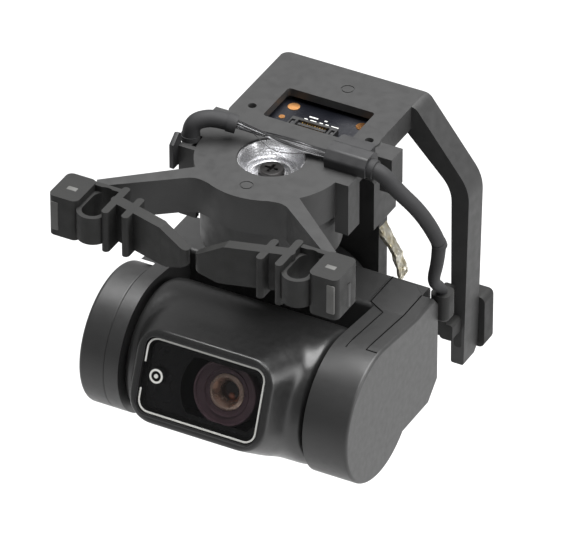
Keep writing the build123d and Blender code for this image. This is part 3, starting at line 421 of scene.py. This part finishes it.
left_route = [(-11.7, 18.9, 0.4), (-11.7, 18.9, 2.2), (-10.9, 19.5, 3.4), (-8.8, 20.8, 3.6),
              (-6.3, 21.7, 2.8)]
sleeve = soft_tube("left_sleeve", left_route, 1.2, sides=7, steps=16)
collar_line = [(-7.4, 21.3, 3.1), (-6.8, 21.52, 2.95), (-6.2, 21.74, 2.78)]
collar = soft_tube("left_collar", collar_line, 1.32, sides=7)
foot_line = [(-11.7, 18.9, 0.4), (-11.7, 18.9, 0.8), (-11.7, 18.9, 1.2)]
foot = soft_tube("left_foot", foot_line, 1.34, sides=7)
place(join([sleeve, collar, foot], "cable_sleeve_by_hub"), "suspension", "sleeve", sleeve_rubber,
      "cable_sleeve_left")

strand_count = 18
black_strands = []
tinned_strands = []
for strand in range(strand_count):
    turn = strand * 2.4
    spread = ((strand + 0.5) / strand_count) ** 0.5
    rank = (strand * 7 % strand_count) / (strand_count - 1) - 0.5
    line = [(-6.5, 21.7 + 0.62 * spread * cos(turn), 2.82 + 0.62 * spread * sin(turn)),
            (-3.6, 22.3 + 0.8 * spread * cos(turn + 0.5), 2.15 + 0.35 * spread * sin(turn)),
            (-0.6, 22.85 + 1.5 * rank, 1.6 + 0.3 * spread * sin(turn + 1.0)),
            (2.6, 23.0 + 1.9 * rank, 1.35 + 0.22 * spread * sin(turn + 2.0)),
            (5.2, 23.0 + 1.7 * rank, 1.25 + 0.2 * spread * sin(turn)),
            (7.5, 23.1 + 1.5 * rank, 1.3 + 0.25 * spread * cos(turn))]
    strands = tinned_strands if strand % 3 == 0 else black_strands
    strands.append(soft_tube("strand", line, 0.1, sides=1, steps=8))
stray = [(-4.2, 21.9, 2.4), (-2.2, 20.6, 2.3), (0.6, 19.5, 1.9), (3.0, 20.6, 1.6), (4.6, 22.3, 1.3),
         (7.4, 22.6, 1.2)]
black_strands.append(soft_tube("stray", stray, 0.06, sides=1, steps=10))
place(join(black_strands, "black_wires"), "suspension", "wire", varnished, "cable_wires")
place(join(tinned_strands, "shield_wires"), "suspension", "wire", tinned)

# The right sleeve is drawn in two stretches, one over the yaw joint and one over the roll joint.
sleeve_middle = (21.1, 28.25, -11.8)
upper_route = [(13.2, 22.9, 1.2), (14.9, 22.9, 1.2), (16.9, 23.8, -1.7), (19.5, 25.4, -5.2),
               (20.9, 27.3, -9.6), sleeve_middle]
lower_route = [sleeve_middle, (21.0, 28.2, -14.6), (20.0, 28.5, -18.6), (20.3, 30.7, -20.7),
               (20.3, 31.05, -21.7)]
upper_bend = (upper_route[1], upper_route[-2])
lower_bend = (lower_route[0], lower_route[-2])
middle_radius = 1.0
foot_radius = 0.7
for route, bend, name, radius, end_radius, body_before, body_after in (
        (upper_route, upper_bend, "upper_sleeve", 1.2, middle_radius, "suspension", "yaw_stage"),
        (lower_route, lower_bend, "lower_sleeve", middle_radius, foot_radius, "yaw_stage", "roll_stage")):
    stretch = soft_tube(name, route, radius, sides=7, steps=16, end_share=end_radius / radius)
    stretch.data.materials.append(sleeve_rubber)
    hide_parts("cable_sleeve_right")
    start, end = (Vector(point) * MM for point in bend)
    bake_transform(stretch)
seam_line = [(21.06, 28.05, -11.35), sleeve_middle, (21.14, 28.45, -12.25)]
seam_ring = soft_tube("sleeve_seam_ring", seam_line, 1.06, sides=7)
place(seam_ring, "yaw_stage", "sleeve", sleeve_rubber)
exit_line = [(13.2, 22.9, 1.2), (13.7, 22.9, 1.2), (14.2, 22.9, 1.15)]
exit_collar = soft_tube("sleeve_exit_collar", exit_line, 1.4, sides=7)
place(exit_collar, "suspension", "sleeve", sleeve_rubber)

# ---- shield foil ----
# A strip of aluminised tape closes the flat cable's slot beside the roll motor. It is pressed on by hand,
# so it is crumpled all over and catches the light in small facets.
foil, foil_shader = new_material("crumpled_aluminised_tape", "#c9c2a8", 0.32, metallic=0.85)
where = add_node(foil, "ShaderNodeTexCoord")
facets = add_node(foil, "ShaderNodeTexVoronoi", [("Vector", where, "Object")], Scale=1 / (0.9 * MM))
foil_bump = add_node(foil, "ShaderNodeBump", [("Height", facets, "Distance")],
                     Strength=0.7, Distance=0.25 * MM)
foil_tint = add_node(foil, "ShaderNodeMix", [("Factor", facets, "Distance")], data_type="RGBA")
foil_tint.inputs[6].default_value = linear("#b5a983")
foil_tint.inputs[7].default_value = linear("#dcdad0")
foil.node_tree.links.new(foil_bump.outputs["Normal"], foil_shader.inputs["Normal"])
foil.node_tree.links.new(foil_tint.outputs[2], foil_shader.inputs["Base Color"])
tape = rounded_copy("shield_foil", "shield_tape", 0.03, steps=1)
apply_modifier(tape, "TRIANGULATE")
apply_modifier(tape, "SUBSURF", subdivision_type="SIMPLE", levels=4, render_levels=4)
crumple = bpy.data.textures.new("crumple", "CLOUDS")
crumple.noise_scale = 1.6 * MM
for direction in ("X", "Y"):
    apply_modifier(tape, "DISPLACE", texture=crumple, strength=0.45 * MM, mid_level=0.5, direction=direction,
                   texture_coords="LOCAL")
place(tape, "yaw_stage", "foil", foil, "shield_foil")

# ---- camera shell ----
# A barrel with a snout that flows out of it to the window's bezel, moulded in two halves and sprayed
# satin black. It is worked about the pitch axis, looking along +Z, and then tilted up with the lens.
shell_paint, shell_paint_shader = new_material("satin_black_paint", "#1e1e1e", 0.32, specular=0.55)
grain(shell_paint, shell_paint_shader, 0.06, 0.05, 0.28, 0.36, "#1b1b1b", "#202020")
camera_tilt = radians(21.0)
pitch_axis = Vector((0, 12.7, -30.1)) * MM
tilted = Matrix(((1, 0, 0, 0), (0, sin(camera_tilt), -cos(camera_tilt), 0),
                 (0, cos(camera_tilt), sin(camera_tilt), 0), (0, 0, 0, 1)))
lens_seat = Matrix.Translation(pitch_axis) @ tilted


def select_edges(piece, chosen):
    """In edit mode, selects only the edges whose two ends pass the test."""
    bpy.ops.object.mode_set(mode="OBJECT")
    for parts in (piece.data.vertices, piece.data.edges, piece.data.polygons):
        parts.foreach_set("select", [False] * len(parts))
    for edge in piece.data.edges:
        first, second = (piece.data.vertices[i].co for i in edge.vertices)
        edge.select = bool(chosen(first, second))
    bpy.context.tool_settings.mesh_select_mode = (False, True, False)
    bpy.ops.object.mode_set(mode="EDIT")


def rounded_plate(name, width, height, radius, low, high, steps=8):
    """A plate across the lens axis, with rounded corners, between two distances along it in mm."""
    bpy.ops.object.select_all(action="DESELECT")
    bpy.ops.mesh.primitive_cube_add(size=1.0, location=(0, 0, (low + high) / 2 * MM),
                                    scale=(width * MM, height * MM, (high - low) * MM))
    piece = bpy.context.object
    piece.name = name
    bpy.ops.object.transform_apply(location=True, rotation=True, scale=True)
    select_edges(piece, lambda first, second: abs(first.z - second.z) > 0.001 * MM)
    bpy.ops.mesh.bevel(offset=radius * MM, segments=steps, affect="EDGES")
    bpy.ops.object.mode_set(mode="OBJECT")
    return piece


def barrel_form(radius, low, high, edge):
    """A cylinder along X with its end edges rounded."""
    bpy.ops.object.select_all(action="DESELECT")
    bpy.ops.mesh.primitive_cylinder_add(vertices=128, radius=radius * MM, depth=(high - low) * MM,
                                        location=((low + high) / 2 * MM, 0, 0), rotation=(0, pi / 2, 0))
    piece = bpy.context.object
    bpy.ops.object.transform_apply(location=True, rotation=True, scale=True)
    apply_modifier(piece, "BEVEL", width=edge * MM, segments=4, limit_method="ANGLE", angle_limit=radians(40))
    return piece


def cut_away(piece, tool):
    """Cuts one form out of another, and clears it away."""
    apply_modifier(piece, "BOOLEAN", operation="DIFFERENCE", object=tool, solver="EXACT")
    bpy.data.objects.remove(tool)


snout = rounded_plate("snout", 26.8, 18.2, 4.8, 2.0, 3.0)
for reach, wide, high in ((9.0, 24.0 / 26.8, 15.8 / 18.2), (13.9, 20.4 / 24.0, 13.0 / 15.8)):
    front = max(v.co.z for v in snout.data.vertices)
    select_edges(snout, lambda first, second: min(first.z, second.z) > front - 0.01 * MM)
    bpy.ops.mesh.select_mode(type="FACE")
    bpy.ops.mesh.extrude_region_move(TRANSFORM_OT_translate={"value": (0, 0, reach * MM - front)})
    bpy.ops.transform.resize(value=(wide, high, 1), center_override=(0, 0, 0))
    bpy.ops.object.mode_set(mode="OBJECT")
blank = join([barrel_form(9.7, -14.0, 13.5, 0.7), snout], "camera_blank")
apply_modifier(blank, "REMESH", mode="VOXEL", voxel_size=0.27 * MM)
skirt = blank.vertex_groups.new(name="skirt")
for vertex in blank.data.vertices:
    skirt.add([vertex.index], min(max((12.6 - vertex.co.z / MM) / 2.5, 0), 1), "REPLACE")
apply_modifier(blank, "SMOOTH", factor=0.5, iterations=110, vertex_group="skirt")
apply_modifier(blank, "SMOOTH", factor=0.5, iterations=9)
blank.vertex_groups.clear()

for name, clear_side, replaced in (("camera_shell_front", "inner", "camera_front_shell"),
                                   ("camera_shell_rear", "outer", "camera_rear_shell")):
    half = bpy.data.objects.new(name, blank.data.copy())
    bpy.context.scene.collection.objects.link(half)
    only(half)
    bpy.ops.object.mode_set(mode="EDIT")
    bpy.ops.mesh.select_all(action="SELECT")
    seam = -2.97 if clear_side == "inner" else -3.03
    bpy.ops.mesh.bisect(plane_co=(0, 0, seam * MM), plane_no=(0, 0, 1), use_fill=True,
                        clear_inner=clear_side == "inner", clear_outer=clear_side == "outer")
    bpy.ops.object.mode_set(mode="OBJECT")
    cut_away(half, barrel_form(8.8, -13.1, 12.6, 0.3))
    if clear_side == "inner":
        cut_away(half, rounded_plate("duct", 17.4, 10.1, 1.3, 2.0, 12.8))
        cut_away(half, rounded_plate("glass_pocket", 18.2, 10.9, 1.7, 12.5, 20.0))
    bpy.ops.object.shade_smooth_by_angle(angle=radians(35))
    place(settle(half, lens_seat), "camera", "camera_plastic", shell_paint, replaced)
bpy.data.objects.remove(blank)

# ---- camera window ----
# A flat pane of hard glass set into the bezel. Its back is printed black except in front of the lens, with a
# thin white line just inside its border, and a plain ring mark at its left.
pane, pane_shader = new_material("coated_window_glass", "#050506", 0.05, specular=0.6)
pane_shader.inputs["Alpha"].default_value = 0.22
smear = add_node(pane, "ShaderNodeTexNoise", [("Vector", add_node(pane, "ShaderNodeTexCoord"), "Object")],
                 Scale=1 / (3.0 * MM))
pane_rough = add_node(pane, "ShaderNodeMapRange", [("Value", smear, "Fac")], To_Min=0.03, To_Max=0.09)
pane.node_tree.links.new(pane_rough.outputs["Result"], pane_shader.inputs["Roughness"])
dress(pane, "window_glass")
ink, ink_shader = new_material("black_glass_ink", "#060607", 0.25, specular=0.5)
grain(ink, ink_shader, 0.3, 0.03, 0.18, 0.3, "#050506", "#08080a")
foam, foam_shader = new_material("black_foam_gasket", "#141414", 0.9, specular=0.2)
grain(foam, foam_shader, 0.1, 0.5, 0.8, 0.95, "#101010", "#1a1a1a")
dress(foam, "window_gasket")
lens_x = 2.6


def disc_form(name, radius, low, high, x=0.0):
    """A round tool across the lens axis."""
    bpy.ops.object.select_all(action="DESELECT")
    bpy.ops.mesh.primitive_cylinder_add(vertices=96, radius=radius * MM, depth=(high - low) * MM,
                                        location=(x * MM, 0, (low + high) / 2 * MM))
    piece = bpy.context.object
    piece.name = name
    bpy.ops.object.transform_apply(location=True, rotation=True, scale=True)
    return piece


aperture = disc_form("aperture", 6.1, 12.0, 13.0, lens_x)
for near, far in ((4.0, 9.0), (-9.0, -4.0)):
    cut_away(aperture, bevelled_block("flat", (-20, near, 11), (20, far, 14), 0.05))
mask_print = rounded_plate("window_mask", 16.6, 9.3, 1.1, 12.62, 12.7)
cut_away(mask_print, aperture)
place(settle(mask_print, lens_seat), "camera", "lens_black", ink)

outline = rounded_plate("window_outline", 17.9, 10.6, 1.7, 13.52, 13.575)
cut_away(outline, rounded_plate("inside", 17.4, 10.1, 1.45, 13.0, 14.0))
cut_away(outline, bevelled_block("gap", (-9.5, -2.1, 13.0), (-7.5, 1.6, 14.0), 0.05))
ring_mark = disc_form("ring_mark", 1.0, 13.52, 13.575, -6.9)
cut_away(ring_mark, disc_form("inside", 0.72, 13.0, 14.0, -6.9))
dot_mark = disc_form("dot_mark", 0.3, 13.52, 13.575, -6.9)
window_print = settle(join([outline, ring_mark, dot_mark], "window_print"), lens_seat)
place(window_print, "camera", "camera_plastic", print_white)

rim_black, rim_black_shader = new_material("gloss_black_trim", "#1a1a1b", 0.22, specular=0.6)
grain(rim_black, rim_black_shader, 0.2, 0.05, 0.18, 0.28, "#161617", "#1e1e1f")
trim = rounded_plate("window_trim", 18.9, 11.6, 2.05, 13.3, 13.92)
cut_away(trim, rounded_plate("inside", 18.24, 10.94, 1.72, 13.0, 15.0))
apply_modifier(trim, "BEVEL", width=0.08 * MM, segments=2, limit_method="ANGLE", angle_limit=radians(50))
only(trim)
bpy.ops.object.shade_smooth_by_angle(angle=radians(40))
place(settle(trim, lens_seat), "camera", "camera_plastic", rim_black)

# ---- lens ----
# A stepped black barrel with a brown anti-glare face, a bright chamfered ring round the front element,
# and the element itself, deep brown, with a painted reflection: a warm orange glint painted into its colour,
# off its centre.
baffle, baffle_shader = new_material("brown_baffle_paint", "#5a484d", 0.5, specular=0.4)
grain(baffle, baffle_shader, 0.3, 0.08, 0.42, 0.58, "#54434a", "#654f56")
champagne, champagne_shader = new_material("champagne_anodised_ring", "#c4aa9c", 0.3, metallic=0.8)
grain(champagne, champagne_shader, 0.1, 0.1, 0.22, 0.36, "#b89c8e", "#d8c0b2")
lens_glass_painted_glint, lens_glass_painted_glint_shader = new_material("lens_glass_with_painted_glint", "#1c0e0a", 0.06, specular=0.9)
where = add_node(lens_glass_painted_glint, "ShaderNodeTexCoord")
# Painted reflection: a spherical gradient about a point off the lens centre paints an orange glint into the
# glass's base colour.
painted_glint_centre = lens_seat @ (Vector((lens_x + 0.3, -0.7, 9.75)) * MM)
painted_glint_place = add_node(lens_glass_painted_glint, "ShaderNodeMapping", [("Vector", where, "Object")], vector_type="TEXTURE")
painted_glint_place.inputs["Location"].default_value = painted_glint_centre
painted_glint_place.inputs["Scale"].default_value = (0.6 * MM, 0.6 * MM, 0.6 * MM)
painted_glint = add_node(lens_glass_painted_glint, "ShaderNodeTexGradient", [("Vector", painted_glint_place, "Vector")],
                gradient_type="SPHERICAL")
painted_glint_tint = add_node(lens_glass_painted_glint, "ShaderNodeMix", [("Factor", painted_glint, "Fac")], data_type="RGBA")
painted_glint_tint.inputs[6].default_value = linear("#1c0e0a")
painted_glint_tint.inputs[7].default_value = linear("#c0602c")
lens_glass_painted_glint.node_tree.links.new(painted_glint_tint.outputs[2], lens_glass_painted_glint_shader.inputs["Base Color"])
lens_axis = lens_seat @ Matrix.Translation(Vector((lens_x, 0, 0)) * MM)
barrel_profile = [(2.6, 1.6), (3.8, 1.6), (3.8, 5.6), (4.65, 5.6), (4.65, 11.75), (4.5, 11.85), (4.35, 11.8),
                  (4.3, 11.4), (3.45, 11.35), (3.4, 11.5), (3.2, 11.5), (3.1, 11.05), (2.6, 11.0)]
ring_profile = [(2.55, 9.6), (2.55, 11.1), (2.2, 11.3), (2.05, 11.3), (1.9, 11.05), (1.4, 10.3), (1.35, 9.6)]
lens_profile = [(0, 9.9), (0.7, 9.86), (1.3, 9.72), (1.8, 9.45), (1.8, 8.9), (0, 8.9)]
place(spun("stepped_lens_barrel", barrel_profile, lens_axis), "camera", "lens_black", baffle, "lens_barrel")
place(spun("champagne_ring", ring_profile, lens_axis), "camera", "lens_black", champagne, "lens_ring")
place(spun("front_lens", lens_profile, lens_axis), "camera", "lens_glass", lens_glass_painted_glint, "lens_front_element")
dress(lens_glass_painted_glint, "lens_rear_element")

# ---- camera inside ----
# The sensor on its own small board, held by a black bracket behind the lens.
dress(mask, "sensor_board")
silicon, silicon_shader = new_material("silicon_sensor", "#20303a", 0.15, specular=0.7)
grain(silicon, silicon_shader, 0.2, 0.02, 0.1, 0.2, "#1a2a34", "#263846")
dress(silicon, "image_sensor")
bracket_black, bracket_black_shader = new_material("black_oxide_bracket", "#1a1817", 0.5, metallic=0.3)
grain(bracket_black, bracket_black_shader, 0.1, 0.15, 0.42, 0.6, "#151413", "#211f1e")
dress(bracket_black, "sensor_bracket")

# ---- motors and bearings ----
# Three brushless motors: stacked steel cores with enamelled copper windings, plated magnet rings, and
# shafts of ground steel in small ball bearings. Sheets and turns are drawn coarser than real, to show.
steel, steel_shader = new_material("ground_bearing_steel", "#a6a6a8", 0.28, metallic=1.0)
grain(steel, steel_shader, 0.1, 0.12, 0.2, 0.38, "#8f8f91", "#b8b8ba")
dress(steel, "yaw_bearing_upper", "yaw_bearing_lower", "roll_bearing_front", "roll_bearing_rear",
      "pitch_bearing_inner", "pitch_bearing_outer", "pivot_bearing", "yaw_shaft", "roll_shaft", "pitch_shaft",
      "pivot_stub", "yaw_washer", "pitch_rotor_cup")
dress(black_oxide, "roll_screw")
plated, plated_shader = new_material("nickel_plated_magnet", "#c3c0b8", 0.2, metallic=1.0)
grain(plated, plated_shader, 0.3, 0.05, 0.14, 0.26, "#b5b1a8", "#d2cfc8")
dress(plated, "yaw_magnet_ring", "roll_magnet_ring", "pitch_magnet_ring")


def layered(name, colour, dark, step, direction, metallic):
    """Layers laid along one axis, such as a core's stacked sheets or a winding's turns."""
    material, shader = new_material(name, colour, 0.4, metallic=metallic)
    place_of = add_node(material, "ShaderNodeTexCoord")
    layers = add_node(material, "ShaderNodeTexWave", [("Vector", place_of, "Object")],
                      bands_direction=direction, Scale=pi / (10 * step * MM), Distortion=0.2)
    bump = add_node(material, "ShaderNodeBump", [("Height", layers, "Fac")], Strength=0.5, Distance=0.05 * MM)
    tint = add_node(material, "ShaderNodeMix", [("Factor", layers, "Fac")], data_type="RGBA")
    tint.inputs[6].default_value = linear(dark)
    tint.inputs[7].default_value = linear(colour)
    material.node_tree.links.new(bump.outputs["Normal"], shader.inputs["Normal"])
    material.node_tree.links.new(tint.outputs[2], shader.inputs["Base Color"])
    return material


for stage, stack_axis, turn_axis in (("yaw", "Z", "X"), ("roll", "Y", "X"), ("pitch", "X", "Y")):
    dress(layered(stage + "_stacked_steel", "#8c8c90", "#4c4c50", 0.2, stack_axis, 0.8), stage + "_stator")
    dress(layered(stage + "_enamelled_copper", "#b5683a", "#6e3417", 0.15, turn_axis, 0.6), stage + "_coils")

# ---- floor and light ----
bpy.ops.mesh.primitive_plane_add(size=6.0, location=(0, 0.02, -0.13))
floor = bpy.context.object
floor.name = "floor"
paper, paper_shader = new_material("pale_paper", "#bebebe", 0.95, specular=0.0)
floor.data.materials.append(paper)
world = bpy.data.worlds.new("studio")
world.use_nodes = True
world.node_tree.nodes["Background"].inputs["Color"].default_value = (1, 1, 1, 1)
world.node_tree.nodes["Background"].inputs["Strength"].default_value = 0.3
bpy.context.scene.world = world
bpy.context.scene.view_settings.view_transform = "Standard"


def soft_light(name, place_at, aim, size, power):
    data = bpy.data.lights.new(name, "AREA")
    data.shape = "RECTANGLE"
    data.size = size[0]
    data.size_y = size[1]
    data.energy = power
    light = bpy.data.objects.new(name, data)
    bpy.context.scene.collection.objects.link(light)
    light.location = place_at
    light.rotation_euler = (Vector(place_at) - Vector(aim)).to_track_quat("Z", "Y").to_euler()


aim = (0, 0.02, -0.02)
soft_light("top_light", (0.05, 0.10, 0.60), aim, (0.7, 0.6), 14.0)
soft_light("right_light", (0.6, 0.1, 0.15), aim, (0.4, 0.4), 2.6)
